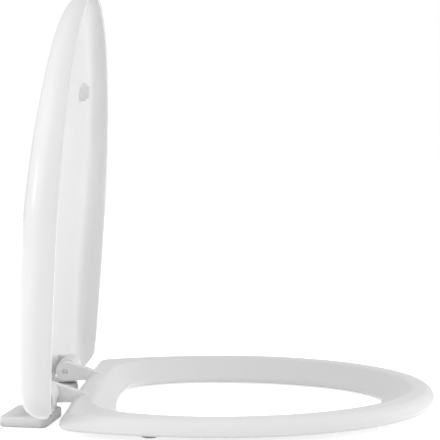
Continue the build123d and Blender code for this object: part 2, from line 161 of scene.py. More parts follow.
@dataclass(frozen=True)
class Shield:
    """A seat outline: half an ellipse in front, drawn-in sides and a bowed back edge."""

    half_width: float
    widest_at: float
    reach: float
    rear_half_width: float
    rear_at: float
    rear_middle: float
    corner: float

    def loop(self, steps: LoopSteps) -> Curve:
        """Walk once round the outline, from the front to the right and back.

        Args:
            steps: the number of points on each stretch of one half.

        Returns:
            The (x, ahead) points and the unit normals that point inwards.
        """
        widest = np.array([self.half_width, self.widest_at])
        rear_end = np.array([self.rear_half_width, self.rear_at])
        draw_in = widest - rear_end
        side_radius = float(draw_in @ draw_in) / (2 * draw_in[0])
        side_centre = widest - np.array([side_radius, 0.0])
        bow = self.rear_at - self.rear_middle
        rear_radius = (self.rear_half_width**2 + bow**2) / (2 * bow)
        rear_centre = np.array([0.0, self.rear_middle + rear_radius])
        corner_centre = self._meeting(
            side_centre, side_radius - self.corner, rear_centre, rear_radius - self.corner, rear_end
        )
        to_corner = self._bearing(side_centre, corner_centre)
        to_rear = self._bearing(rear_centre, corner_centre)
        stretches = [
            self._front(steps.front),
            self._arc(side_centre, side_radius, 0.0, to_corner, steps.side),
            self._arc(corner_centre, self.corner, to_corner, to_rear, steps.corner),
            self._arc(rear_centre, rear_radius, to_rear, -QUARTER, steps.rear),
        ]
        points = np.vstack([points for points, _ in stretches])
        normals = np.vstack([normals for _, normals in stretches])
        mirror = np.array([-1.0, 1.0])
        points = np.vstack([points, points[-2:0:-1] * mirror])
        normals = np.vstack([normals, normals[-2:0:-1] * mirror])
        return points, normals

    def _front(self, count: int) -> Curve:
        """Draw the right half of the front ellipse.

        Args:
            count: the number of points.

        Returns:
            The points and their inward normals.
        """
        depth = self.reach - self.widest_at
        turn = np.linspace(QUARTER, 0.0, count)
        points = np.column_stack(
            [self.half_width * np.cos(turn), self.widest_at + depth * np.sin(turn)]
        )
        normals = -np.column_stack([np.cos(turn) / self.half_width, np.sin(turn) / depth])
        return points, normals / np.linalg.norm(normals, axis=1)[:, None]

    @staticmethod
    def _arc(centre: np.ndarray, radius: float, start: float, end: float, count: int) -> Curve:
        """Draw an arc without its first point.

        Args:
            centre: the middle of its circle.
            radius: the radius of its circle.
            start: the angle at which it starts.
            end: the angle at which it ends.
            count: the number of points, with the first.

        Returns:
            The points and their inward normals.
        """
        turn = np.linspace(start, end, count)[1:]
        out = np.column_stack([np.cos(turn), np.sin(turn)])
        return centre + radius * out, -out

    @staticmethod
    def _bearing(centre: np.ndarray, point: np.ndarray) -> float:
        """The angle at which a point lies from a centre."""
        across, along = point - centre
        return math.atan2(along, across)

    @staticmethod
    def _meeting(
        first: np.ndarray, first_radius: float, other: np.ndarray, other_radius: float, near: np.ndarray
    ) -> np.ndarray:
        """Find where two circles meet.

        Args:
            first: the middle of one circle.
            first_radius: its radius.
            other: the middle of the other circle.
            other_radius: its radius.
            near: a point near the wanted place.

        Returns:
            The place of the two that is nearer to the point.
        """
        gap = other - first
        distance = float(np.linalg.norm(gap))
        along = gap / distance
        foot = (first_radius**2 - other_radius**2 + distance**2) / (2 * distance)
        height = math.sqrt(first_radius**2 - foot**2)
        across = np.array([-along[1], along[0]])
        places = [first + foot * along + side * height * across for side in (1, -1)]
        return min(places, key=lambda place: float(np.linalg.norm(place - near)))


class Graph:
    """A short way to add nodes to a tree and to wire them."""

    def __init__(self, tree: bpy.types.NodeTree) -> None:
        """Work on a tree."""
        self.tree = tree

    def node(self, kind: str, **settings: Any) -> bpy.types.Node:
        """Add a node.

        Args:
            kind: the node's type.
            settings: properties of the node to set.

        Returns:
            The new node.
        """
        made = self.tree.nodes.new(kind)
        for name, value in settings.items():
            setattr(made, name, value)
        return made

    def feed(self, socket: bpy.types.NodeSocket, value: Any) -> None:
        """Wire a socket to another one, or set its constant.

        Args:
            socket: the input that is fed.
            value: the other socket, or the constant.
        """
        if isinstance(value, bpy.types.NodeSocket):
            self.tree.links.new(value, socket)
        else:
            socket.default_value = value

    def fill(self, node: bpy.types.Node, values: dict[str, Any]) -> None:
        """Feed several inputs of a node, by their names."""
        for name, value in values.items():
            self.feed(node.inputs[name], value)

    def math(self, operation: str, *values: Any) -> bpy.types.NodeSocket:
        """Add a maths node.

        Args:
            operation: what it does.
            values: the sockets or constants that it works on.

        Returns:
            The socket of its result.
        """
        made = self.node("ShaderNodeMath", operation=operation)
        for socket, value in zip(made.inputs, values):
            self.feed(socket, value)
        return made.outputs[0]

    def leg(self, longest: Any, other: Any) -> bpy.types.NodeSocket:
        """The third side of a right-angled triangle, by its longest side and another."""
        squares = [self.math("POWER", side, 2.0) for side in (longest, other)]
        return self.math("SQRT", self.math("SUBTRACT", *squares))

    def socket(self, name: str, kind: str, way: str = "INPUT") -> str:
        """Add a named socket to the tree's own interface and return its identifier."""
        made = self.tree.interface.new_socket(name=name, in_out=way, socket_type=kind)
        return made.identifier


class GeometryTree(Graph):
    """A geometry tree with named inputs, which leaves a plain mesh in its finish."""

    KINDS = {
        float: "NodeSocketFloat",
        tuple: "NodeSocketVector",
        bpy.types.Object: "NodeSocketObject",
        bpy.types.Material: "NodeSocketMaterial",
    }

    def __init__(self, name: str, inputs: dict[str, Any]) -> None:
        """Open a tree.

        Args:
            name: the name of the tree.
            inputs: the values of its inputs by name, of which Finish is one.
        """
        super().__init__(bpy.data.node_groups.new(name, "GeometryNodeTree"))
        self.socket("Geometry", "NodeSocketGeometry")
        self.values: dict[str, Any] = {}
        for label, value in inputs.items():
            self.values[self.socket(label, self.KINDS[type(value)])] = value
        self.socket("Geometry", "NodeSocketGeometry", "OUTPUT")
        self.given = self.node("NodeGroupInput").outputs

    def run(self, piece: bpy.types.Object, shape: bpy.types.NodeSocket) -> None:
        """End the tree in real geometry with its finish, and bake it into a piece.

        Args:
            piece: the object that the tree works on.
            shape: the socket that gives the finished shape.
        """
        real = self.node("GeometryNodeRealizeInstances")
        self.feed(real.inputs["Geometry"], shape)
        paint = self.node("GeometryNodeSetMaterial")
        self.fill(paint, {"Geometry": real.outputs["Geometry"], "Material": self.given["Finish"]})
        self.fill(self.node("NodeGroupOutput"), {"Geometry": paint.outputs["Geometry"]})
        modifier = piece.modifiers.new(self.tree.name, "NODES")
        modifier.node_group = self.tree
        for identifier, value in self.values.items():
            modifier[identifier] = value
        bake(piece)
        bpy.data.node_groups.remove(self.tree)


def to_frame(points: np.ndarray, hinge: Vector) -> np.ndarray:
    """Turn (x, ahead, z) places in millimetres into the frame's metres."""
    return np.column_stack([points[:, 0] * MM, hinge.y - points[:, 1] * MM, points[:, 2] * MM])


def lift(places: np.ndarray, height: Any) -> np.ndarray:
    """Lift (x, ahead) places to a height, or each one to its own."""
    return np.column_stack([places, np.broadcast_to(height, len(places))])


def link_mesh(name: str, mesh: bpy.types.Mesh) -> bpy.types.Object:
    """Put a mesh into the scene.

    Args:
        name: the name of the object.
        mesh: its mesh.

    Returns:
        The new object.
    """
    made = bpy.data.objects.new(name, mesh)
    bpy.context.scene.collection.objects.link(made)
    return made


def face_outwards(mesh: bpy.types.Mesh) -> None:
    """Turn the faces of a mesh outwards.

    Args:
        mesh: the mesh that is changed.
    """
    work = bmesh.new()
    work.from_mesh(mesh)
    bmesh.ops.recalc_face_normals(work, faces=work.faces)
    work.to_mesh(mesh)
    work.free()


def mesh_piece(
    name: str, points: Sequence[Sequence[float]], faces: Sequence[Sequence[int]]
) -> bpy.types.Object:
    """Make an object from points and faces, with its faces turned outwards.

    Args:
        name: the name of the object.
        points: its points, in metres.
        faces: its faces, by index of their points.

    Returns:
        The new object.
    """
    mesh = bpy.data.meshes.new(name)
    corners = [tuple(map(float, point)) for point in points]
    mesh.from_pydata(corners, [], [tuple(face) for face in faces])
    face_outwards(mesh)
    return link_mesh(name, mesh)


def skin_faces(rings: Sequence[np.ndarray], closed: bool) -> list[tuple[int, ...]]:
    """Join rings of points by faces.

    Args:
        rings: rings of equal length, where the first and last may be a single point.
        closed: whether the last ring joins the first.

    Returns:
        The faces, by index into the stacked rings.
    """
    starts = np.cumsum([0] + [len(ring) for ring in rings])
    pairs = [(k, k + 1) for k in range(len(rings) - 1)]
    if closed:
        pairs.append((len(rings) - 1, 0))
    faces: list[tuple[int, ...]] = []
    for here, there in pairs:
        low, high = int(starts[here]), int(starts[there])
        count = max(len(rings[here]), len(rings[there]))
        for k in range(count):
            after = (k + 1) % count
            if len(rings[here]) == 1:
                faces.append((low, high + after, high + k))
            elif len(rings[there]) == 1:
                faces.append((low + k, low + after, high))
            else:
                faces.append((low + k, low + after, high + after, high + k))
    return faces


def prism(name: str, base: Sequence[Sequence[float]], push: Sequence[float]) -> bpy.types.Object:
    """Push a flat outline along a vector to make a closed tool.

    Args:
        name: the name of the tool.
        base: the points of the outline.
        push: how far and which way it is pushed.

    Returns:
        The tool.
    """
    low = np.array(base, float)
    count = len(low)
    points = np.vstack([low, low + np.array(push, float)])
    faces: list[tuple[int, ...]] = [tuple(range(count)), tuple(range(count, 2 * count))]
    for k in range(count):
        after = (k + 1) % count
        faces.append((k, after, count + after, count + k))
    return mesh_piece(name, points, faces)


def across_hinge(outline: Sequence[Sequence[float]], x: float, hinge: Vector) -> np.ndarray:
    """Place an outline of (behind, above) millimetres round the hinge line at x."""
    flat = np.array(outline, float) * MM
    return np.column_stack([np.full(len(flat), x * MM), hinge.y + flat[:, 0], hinge.z + flat[:, 1]])


def circle(
    radius: float, count: int = ARCS.full, start: float = 0.0, sweep: float = 2 * math.pi
) -> np.ndarray:
    """Set points on a circle, or on a stretch of it.

    Args:
        radius: the radius of the circle.
        count: the number of points.
        start: the angle of the first one.
        sweep: the angle that they cover, where a whole turn leaves out the doubled last one.

    Returns:
        The points.
    """
    turn = start + np.linspace(0.0, sweep, count, endpoint=sweep < 2 * math.pi)
    return radius * np.column_stack([np.cos(turn), np.sin(turn)])


def double_d(radius: float, flats: float) -> np.ndarray:
    """Draw a round section with two flats.

    Args:
        radius: the radius of the round sides.
        flats: the distance between the flats.

    Returns:
        The points of the section.
    """
    edge = math.asin(flats / 2 / radius)
    right = circle(radius, ARCS.flat_end, -edge, 2 * edge)
    left = circle(radius, ARCS.flat_end, math.pi - edge, 2 * edge)
    return np.vstack([right, left])


def bake(piece: bpy.types.Object) -> None:
    """Keep what a piece's modifiers make and take them off.

    Args:
        piece: the piece that is changed.
    """
    bpy.context.view_layer.update()
    shown = piece.evaluated_get(bpy.context.evaluated_depsgraph_get())
    made = bpy.data.meshes.new_from_object(shown)
    old = piece.data
    piece.modifiers.clear()
    piece.data = made
    bpy.data.meshes.remove(old)


def drop(piece: bpy.types.Object) -> None:
    """Remove a tool that has done its work.

    Args:
        piece: the tool.
    """
    mesh = piece.data
    bpy.data.objects.remove(piece)
    bpy.data.meshes.remove(mesh)


def cut(piece: bpy.types.Object, tool: bpy.types.Object, how: Cut) -> None:
    """Let a tool work on a piece, and remove the tool.

    Args:
        piece: the piece that is changed.
        tool: the closed shape that does it.
        how: whether it adds, takes away or trims.
    """
    modifier = piece.modifiers.new("cut", "BOOLEAN")
    modifier.operation = how.value
    modifier.solver = "EXACT"
    modifier.object = tool
    bake(piece)
    drop(tool)


def bore(
    piece: bpy.types.Object, outline: np.ndarray, x: float, width: float, hinge: Vector
) -> None:
    """Bore an opening along the hinge line.

    Args:
        piece: the piece that is bored.
        outline: the opening's outline round the hinge line.
        x: where the bored stretch starts.
        width: how long it is.
        hinge: a point of the hinge line.
    """
    base = across_hinge(outline, x - OVERRUN, hinge)
    cut(piece, prism("bore", base, ((width + 2 * OVERRUN) * MM, 0, 0)), Cut.TAKE)


def soften(piece: bpy.types.Object, angle: float = SHARP_ANGLE) -> None:
    """Merge doubled points, split many-sided faces and shade all but sharp edges smooth.

    Args:
        piece: the piece that is changed.
        angle: the angle in degrees from which an edge stays sharp.
    """
    work = bmesh.new()
    work.from_mesh(piece.data)
    bmesh.ops.remove_doubles(work, verts=work.verts, dist=MERGE_GAP)
    large = [face for face in work.faces if len(face.verts) > MOST_CORNERS]
    bmesh.ops.triangulate(work, faces=large)
    bmesh.ops.recalc_face_normals(work, faces=work.faces)
    work.to_mesh(piece.data)
    work.free()
    piece.data.shade_smooth()
    piece.data.set_sharp_from_angle(angle=math.radians(angle))


@dataclass(frozen=True)
class Finish:
    """One of the record's material slots and how it looks."""

    slot: str
    grain: Grain
    colour: tuple[float, float, float]
    shade: tuple[float, float, float]
    roughness: float
    spread: float
    scale: float
    depth: float
    coat: float = 0.0
    metallic: float = 0.0
    glow: float = 0.0
    glow_reach: float = 0.006

    def make(self, groups: dict[Grain, bpy.types.NodeTree]) -> bpy.types.Material:
        """Build the material.

        Args:
            groups: the shared surface patterns.

        Returns:
            The new material.
        """
        material = bpy.data.materials.new(self.slot)
        material.use_nodes = True
        graph = Graph(material.node_tree)
        pattern = graph.node("ShaderNodeGroup", node_tree=groups[self.grain])
        values = {
            "Colour": (*self.colour, 1.0),
            "Shade": (*self.shade, 1.0),
            "Roughness": self.roughness,
            "Spread": self.spread,
            "Scale": self.scale,
        }
        graph.fill(pattern, values)
        bump = graph.node("ShaderNodeBump")
        height = pattern.outputs["Height"]
        graph.fill(bump, {"Strength": 1.0, "Distance": self.depth * MM, "Height": height})
        values = {
            "Base Color": pattern.outputs["Colour"],
            "Roughness": pattern.outputs["Roughness"],
            "Normal": bump.outputs["Normal"],
            "Metallic": self.metallic,
            "Coat Weight": self.coat,
            "Coat Roughness": self.roughness / 2,
            "Subsurface Weight": self.glow,
            "Subsurface Radius": (self.glow_reach, self.glow_reach, self.glow_reach),
        }
        graph.fill(material.node_tree.nodes["Principled BSDF"], values)
        return material


class Palette:
    """Every finish of the seat, by the record's slot."""

    FINISHES = (
        Finish(
            "white_gloss", Grain.MOULDED, colour=(0.86, 0.86, 0.86), shade=(0.848, 0.85, 0.853),
            roughness=0.22, spread=0.05, scale=16, depth=0.006, coat=0.35,
        ),
        Finish(
            "hinge_plastic", Grain.MOULDED, colour=(0.8, 0.8, 0.8), shade=(0.77, 0.772, 0.775),
            roughness=0.34, spread=0.08, scale=60, depth=0.02, coat=0.1,
        ),
        Finish(
            "soft_buffer", Grain.MOULDED, colour=(0.74, 0.745, 0.75), shade=(0.69, 0.695, 0.7),
            roughness=0.5, spread=0.1, scale=180, depth=0.03, glow=0.3,
        ),
        Finish(
            "damper_plastic", Grain.MOULDED, colour=(0.72, 0.71, 0.67), shade=(0.66, 0.65, 0.61),
            roughness=0.45, spread=0.1, scale=120, depth=0.02,
        ),
        Finish(
            "rotor_plastic", Grain.MOULDED, colour=(0.78, 0.77, 0.73), shade=(0.71, 0.7, 0.66),
            roughness=0.4, spread=0.1, scale=120, depth=0.02,
        ),
        Finish(
            "seal_rubber", Grain.MOULDED, colour=(0.025, 0.025, 0.026), shade=(0.045, 0.045, 0.045),
            roughness=0.62, spread=0.12, scale=300, depth=0.03,
        ),
        Finish(
            "pin_steel", Grain.TURNED, colour=(0.6, 0.6, 0.61), shade=(0.45, 0.45, 0.46),
            roughness=0.2, spread=0.1, scale=9000, depth=0.01, metallic=1.0,
        ),
        Finish(
            "insert_brass", Grain.TURNED, colour=(0.72, 0.52, 0.22), shade=(0.55, 0.38, 0.14),
            roughness=0.2, spread=0.1, scale=7000, depth=0.01, metallic=1.0,
        ),
    )
    NOISE_MIDDLE = 0.5
    SKIN_DETAIL = 1.0
    PEEL_FINENESS = 5.0
    TONE_SCALE = 220.0

    # A mix node's colour sockets share their names with others, so they go by number.
    MIX_FACTOR = 0
    MIX_COLOUR = 6
    MIX_SHADE = 7
    MIX_RESULT = 2

    def __init__(self) -> None:
        """Make every material."""
        groups = {Grain.MOULDED: self._moulded_skin(), Grain.TURNED: self._lathe_lines()}
        self.materials = {finish.slot: finish.make(groups) for finish in self.FINISHES}

    @staticmethod
    def _open(grain: Grain) -> tuple[Graph, bpy.types.Node]:
        """Start a shared pattern with its named sockets.

        Args:
            grain: which pattern it is.

        Returns:
            The pattern's graph and the node that gives its inputs.
        """
        graph = Graph(bpy.data.node_groups.new(grain.value, "ShaderNodeTree"))
        for name in ("Colour", "Shade"):
            graph.socket(name, "NodeSocketColor")
        for name in ("Roughness", "Spread", "Scale"):
            graph.socket(name, "NodeSocketFloat")
        graph.socket("Colour", "NodeSocketColor", "OUTPUT")
        for name in ("Roughness", "Height"):
            graph.socket(name, "NodeSocketFloat", "OUTPUT")
        return graph, graph.node("NodeGroupInput")

    def _close(
        self,
        graph: Graph,
        given: bpy.types.Node,
        broad: bpy.types.NodeSocket,
        height: bpy.types.NodeSocket,
    ) -> bpy.types.NodeTree:
        """Mix colour and roughness by a broad pattern and give out the fine height.

        Args:
            graph: the pattern's graph.
            given: the node that gives its inputs.
            broad: the slow change over the surface, from 0 to 1.
            height: the fine relief.

        Returns:
            The finished group.
        """
        blend = graph.node("ShaderNodeMix", data_type="RGBA")
        graph.feed(blend.inputs[self.MIX_FACTOR], broad)
        graph.feed(blend.inputs[self.MIX_COLOUR], given.outputs["Colour"])
        graph.feed(blend.inputs[self.MIX_SHADE], given.outputs["Shade"])
        centred = graph.math("SUBTRACT", broad, self.NOISE_MIDDLE)
        swing = graph.math("MULTIPLY", centred, given.outputs["Spread"])
        values = {
            "Colour": blend.outputs[self.MIX_RESULT],
            "Roughness": graph.math("ADD", given.outputs["Roughness"], swing),
            "Height": height,
        }
        graph.fill(graph.node("NodeGroupOutput"), values)
        return graph.tree

    def _moulded_skin(self) -> bpy.types.NodeTree:
        """Make moulded plastic: a faint cloudiness and the fine waviness of a gloss skin.

        Returns:
            The shader group.
        """
        graph, given = self._open(Grain.MOULDED)
        place = graph.node("ShaderNodeTexCoord").outputs["Object"]
        broad = given.outputs["Scale"]
        fine = graph.math("MULTIPLY", broad, self.PEEL_FINENESS)
        layers = []
        for scale in (broad, fine):
            noise = graph.node("ShaderNodeTexNoise")
            graph.fill(noise, {"Vector": place, "Scale": scale, "Detail": self.SKIN_DETAIL})
            layers.append(noise.outputs["Fac"])
        return self._close(graph, given, *layers)

    def _lathe_lines(self) -> bpy.types.NodeTree:
        """Make turned metal: fine rings along the bar and a slow change of tone.

        Returns:
            The shader group.
        """
        graph, given = self._open(Grain.TURNED)
        place = graph.node("ShaderNodeTexCoord").outputs["Object"]
        parts = graph.node("ShaderNodeSeparateXYZ")
        graph.fill(parts, {"Vector": place})
        along = graph.math("ADD", parts.outputs["X"], parts.outputs["Z"])
        rings = graph.math("SINE", graph.math("MULTIPLY", along, given.outputs["Scale"]))
        tone = graph.node("ShaderNodeTexNoise")
        graph.fill(tone, {"Vector": place, "Scale": self.TONE_SCALE})
        return self._close(graph, given, tone.outputs["Fac"], rings)


class Seat:
    """What the pieces share: the frame, the finishes and where the hinge is."""

    def __init__(self, frame: dict[str, Any], palette: Palette) -> None:
        """Read what the pieces need from the frame.

        Args:
            palette: the finishes.
        """
        self.nodes: dict[str, bpy.types.Object] = frame["nodes"]
        self.palette = palette
        self.slots = {part["node"]: part["material_slot"] for part in frame["record"]["subparts"]}
        lid_hinge = {joint["name"]: joint for joint in frame["joints"]}["lid_hinge"]
        self.hinge = Vector(lid_hinge["pos_m"])
        opening = -math.radians(lid_hinge["range_deg"][0])
        turn = Matrix.Rotation(opening, 4, Vector(lid_hinge["axis"]))
        self.lid_turn = Matrix.Translation(self.hinge) @ turn @ Matrix.Translation(-self.hinge)

    def finish(self, node: str) -> bpy.types.Material:
        """The material that the record gives to a node."""
        return self.palette.materials[self.slots[node]]

    def settle(self, piece: bpy.types.Object, node: str, body: str) -> None:
        """Let a finished piece stand for a node and move with its body.

        Args:
            piece: the finished piece.
            node: the CAD node that it replaces.
            body: the body that it moves with.
        """
        piece.data.materials.clear()
        piece.data.materials.append(self.finish(node))
        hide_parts(node)
        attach(piece, body)

    def dress_nodes(self) -> None:
        """Give every CAD node its finish, whether or not a piece stands for it."""
        for name, node in self.nodes.items():
            node.data.materials.clear()
            node.data.materials.append(self.finish(name))


@dataclass(frozen=True)
class Made:
    """A finished mesh, the CAD node that it stands for and the body that it moves with."""

    piece: bpy.types.Object
    node: str
    body: str


@dataclass
class Assembly(ABC):
    """A group of pieces that are built first and then dressed."""

    seat: Seat
    made: list[Made] = field(default_factory=list, init=False)

    @abstractmethod
    def build(self) -> None:
        """Make the meshes of all the pieces."""

    def dress(self) -> None:
        """Give every piece its finish, its node and its body."""
        for made in self.made:
            self.seat.settle(made.piece, made.node, made.body)

    def cast(self, node: str, body: str) -> None:
        """Copy a CAD node, with joined faces and smooth curves.

        Args:
            node: the CAD node.
            body: the body that the copy moves with.
        """
        piece = link_mesh(f"{node}_skin", self.seat.nodes[node].data.copy())
        soften(piece)
        self.made.append(Made(piece, node, body))


@dataclass(frozen=True)
class LidSizes:
    """The lid, drawn closed."""

    half_width: float = 187.0
    widest_at: float = 181.0
    reach: float = 418.0
    rear_half_width: float = 164.0
    rear_at: float = -6.0
    behind: float = 13.0
    corner: float = 34.0
    wall: float = 4.0
    rim: float = 5.5
    rim_round: float = 1.2
    crown_height: float = 54.5
    crown_at: float = 140.0
    crown_radius: float = 700.0
    front_height: float = 20.4
    shoulder: float = 22.0
    heel_radius: float = 16.0
    heel_behind: float = 9.0
    notch_half_width: float = 112.0
    notch_above: float = 13.0
    notch_ahead: float = 8.0
    notch_round: float = 8.0
    lug_at: float = 97.85
    lug_width: float = 10.0
    lug_radius: float = 9.5
    spindle_slot: float = 3.1
    spindle_flats: float = 4.6
    bush_hole: float = 5.53
    buffer_x: float = 112.0
    buffer_at: float = 323.0
    buffer_radius: float = 9.5
    buffer_tip: float = 6.5
    buffer_round: float = 2.0
    boss_depth: float = 3.66
    boss_margin: float = 1.2
    ring_top: float = 23.0
    rest_gap: float = 0.3

    @property
    def ridge_radius(self) -> float:
        """The radius of the crown from back to front.

        Returns:
            The radius in millimetres.
        """
        run = self.reach - self.crown_at
        fall = self.crown_height - self.front_height
        return (run**2 + fall**2) / (2 * fall)

    def outline(self, inset: float) -> Shield:
        """Draw the lid's outline from above.

        Args:
            inset: 0 for the outer face, or the wall for the inner one.

        Returns:
            The outline.
        """
        return Shield(
            self.half_width - inset,
            self.widest_at,
            self.reach - inset,
            self.rear_half_width - inset,
            self.rear_at + inset,
            inset - self.behind,
            self.corner - inset,
        )

    def crown(self, places: np.ndarray, inset: float) -> np.ndarray:
        """Work out the height of the crown.

        Args:
            places: the (x, ahead) places.
            inset: 0 for the outer face, or the wall for the inner one.

        Returns:
            The height at each place.
        """
        crown = self.crown_radius - inset
        across = self.ridge_radius - inset - crown + np.sqrt(crown**2 - places[:, 0] ** 2)
        along = np.sqrt(across**2 - (places[:, 1] - self.crown_at) ** 2)
        return self.rim + self.crown_height - self.ridge_radius + along

    @property
    def boss(self) -> float:
        """The height at which the buffers meet their bosses."""
        place = np.array([[self.buffer_x, self.buffer_at]])
        return float(self.crown(place, self.wall)[0]) - self.boss_depth


@dataclass(frozen=True, eq=False)
class Band:
    """A ring of (x, ahead, z) points, and its inset where it lies on the crown."""

    points: np.ndarray
    inset: float = OFF_CROWN


@dataclass
class Lid(Assembly):
    """The wrap-over lid with its lugs, bosses and buffers."""

    sizes: LidSizes = LidSizes()
    steps: LoopSteps = LoopSteps()
    rim_steps: int = 5
    shoulder_steps: int = 12
    crown_steps: int = 18
    solve_steps: int = 24
    probe: float = 0.05
    pole: tuple[float, float] = (0.0, 190.0)

    def build(self) -> None:
        """Model the shell and its buffers, and copy what turns with them."""
        outer = self._face(0.0)
        floor = Band(lift(np.array([self.pole]), self.sizes.rim))
        shell = self._shell("lid_skin", [*outer[::-1], *self._face(self.sizes.wall)])
        whole = self._shell("lid_whole", [floor, *outer])
        self._trim(shell)
        self._inside(shell, whole)
        soften(shell)
        shell.data.transform(self.seat.lid_turn)
        self.made.append(Made(shell, "lid", "lid"))
        self.made.append(Made(self._buffers(), "lid_buffers", "lid"))
        for node in ("lid_damper_rotor", "lid_bush"):
            self.cast(node, "lid")

    def _touch(self, points: np.ndarray, normals: np.ndarray, inset: float) -> Curve:
        """Find where the rolled shoulder runs into the crown.

        Args:
            points: the outline's points.
            normals: their inward normals.
            inset: 0 for the outer face, or the wall for the inner one.

        Returns:
            The (x, ahead) places, and the crown's slope inwards at each.
        """
        size, radius = self.sizes, self.sizes.shoulder - inset
        step = normals * self.probe
        slope = np.zeros(len(points))
        for _ in range(self.solve_steps):
            reach = radius * (1 - slope / np.sqrt(1 + slope**2))
            places = points + normals * reach[:, None]
            rise = size.crown(places + step, inset) - size.crown(places - step, inset)
            slope = (slope + rise / (2 * self.probe)) / 2
        return places, slope

    def _face(self, inset: float) -> list[Band]:
        """Draw bands from the rim up to the crown's middle, on one side of the wall.

        Args:
            inset: 0 for the outer face, or the wall for the inner one.

        Returns:
            The bands, where those on the crown still lie flat.
        """
        size = self.sizes
        radius = size.shoulder - inset
        points, normals = size.outline(inset).loop(self.steps)
        touch, slope = self._touch(points, normals, inset)
        centre = size.crown(touch, inset) - radius / np.sqrt(1 + slope**2)
        side = 1.0 if inset == 0 else -1.0
        edge = []
        for turn in np.linspace(0.0, QUARTER, self.rim_steps):
            depth = side * size.rim_round * (1 - math.sin(turn))
            height = size.rim + size.rim_round * (1 - math.cos(turn))
            edge.append(lift(points + normals * depth, height))
        edge.append(lift(points, (size.rim + size.rim_round + centre) / 2))
        last = QUARTER + np.arctan(slope)
        for share in np.linspace(0.0, 1.0, self.shoulder_steps):
            turn = math.pi + (last - math.pi) * share
            depth = radius * (1 + np.cos(turn))
            height = centre + radius * np.sin(turn)
            edge.append(lift(points + normals * depth[:, None], height))
        pole = np.array([self.pole])
        shares = np.linspace(0.0, 1.0, self.crown_steps)[1:-1]
        crown = [lift(touch + (pole - touch) * share, size.rim) for share in shares]
        crown.append(lift(pole, size.rim))
        return [*map(Band, edge), *(Band(ring, inset) for ring in crown)]

    def _shell(self, name: str, bands: Sequence[Band]) -> bpy.types.Object:
        """Skin bands and let geometry nodes lift the crown by its rule.

        Args:
            name: the name of the piece.
            bands: the bands in order, from one pole to the other.

        Returns:
            The closed shell.
        """
        size, hinge = self.sizes, self.seat.hinge
        rings = [band.points for band in bands]
        stacked = to_frame(np.vstack(rings), hinge)
        piece = mesh_piece(name, stacked, skin_faces(rings, closed=False))
        marks = np.concatenate([np.full(len(band.points), band.inset) for band in bands])
        attribute = piece.data.attributes.new(CROWN_MARK, "FLOAT", "POINT")
        attribute.data.foreach_set("value", (marks * MM).astype(np.float32))
        inputs = {
            "Top": (size.rim + size.crown_height) * MM,
            "Crown Radius": size.crown_radius * MM,
            "Ridge Radius": size.ridge_radius * MM,
            "Crown Place": hinge.y - size.crown_at * MM,
            "Finish": self.seat.finish("lid"),
        }
        tree = GeometryTree(f"{name}_crown", inputs)
        tree.run(piece, self._crown_rule(tree))
        face_outwards(piece.data)
        return piece

    @staticmethod
    def _crown_rule(tree: GeometryTree) -> bpy.types.NodeSocket:
        """Lift marked points onto a crown that is round across and round from back to front.

        Args:
            tree: the tree that gets the rule.

        Returns:
            The socket that gives the lifted shape.
        """
        given = tree.given
        mark = tree.node("GeometryNodeInputNamedAttribute", data_type="FLOAT")
        tree.fill(mark, {"Name": CROWN_MARK})
        inset = mark.outputs["Attribute"]
        place = tree.node("ShaderNodeSeparateXYZ")
        tree.fill(place, {"Vector": tree.node("GeometryNodeInputPosition").outputs["Position"]})
        x, y = place.outputs["X"], place.outputs["Y"]
        crown = tree.math("SUBTRACT", given["Crown Radius"], inset)
        ridge = tree.math("SUBTRACT", given["Ridge Radius"], inset)
        across = tree.math("ADD", tree.math("SUBTRACT", ridge, crown), tree.leg(crown, x))
        along = tree.leg(across, tree.math("SUBTRACT", y, given["Crown Place"]))
        base = tree.math("SUBTRACT", given["Top"], given["Ridge Radius"])
        lifted = tree.node("ShaderNodeCombineXYZ")
        tree.fill(lifted, {"X": x, "Y": y, "Z": tree.math("ADD", base, along)})
        move = tree.node("GeometryNodeSetPosition")
        values = {
            "Geometry": given["Geometry"],
            "Selection": tree.math("GREATER_THAN", inset, OFF_CROWN * MM / 2),
            "Position": lifted.outputs["Vector"],
        }
        tree.fill(move, values)
        return move.outputs["Geometry"]

    def _trim(self, shell: bpy.types.Object) -> None:
        """Round the heel off and open the notch for the hinge.

        Args:
            shell: the shell that is trimmed.
        """
        size, hinge = self.sizes, self.seat.hinge
        below, top = size.rim - TOOL_MARGIN, size.rim + size.heel_radius
        arc = circle(size.heel_radius, ARCS.heel, -QUARTER, QUARTER)
        heel = [(size.heel_behind - size.heel_radius + y, top + z) for y, z in arc]
        heel += [(TOOL_DEPTH, top), (TOOL_DEPTH, below), (heel[0][0], below)]
        start = -(size.half_width + TOOL_MARGIN) * MM
        base = [(start, hinge.y + y * MM, z * MM) for y, z in heel]
        cut(shell, prism("heel", base, (-2 * start, 0, 0)), Cut.TAKE)
        wide = size.notch_half_width - size.notch_round
        tall = hinge.z / MM + size.notch_above - size.notch_round
        corner = circle(size.notch_round, ARCS.notch, 0.0, QUARTER)
        notch = [(wide + x, tall + z) for x, z in corner]
        notch += [(-x, z) for x, z in notch[::-1]]
        notch += [(side.value * size.notch_half_width, -2 * TOOL_MARGIN) for side in Side]
        back = hinge.y - size.notch_ahead * MM
        base = [(x * MM, back, z * MM) for x, z in notch]
        cut(shell, prism("notch", base, (0, TOOL_DEPTH * MM, 0)), Cut.TAKE)

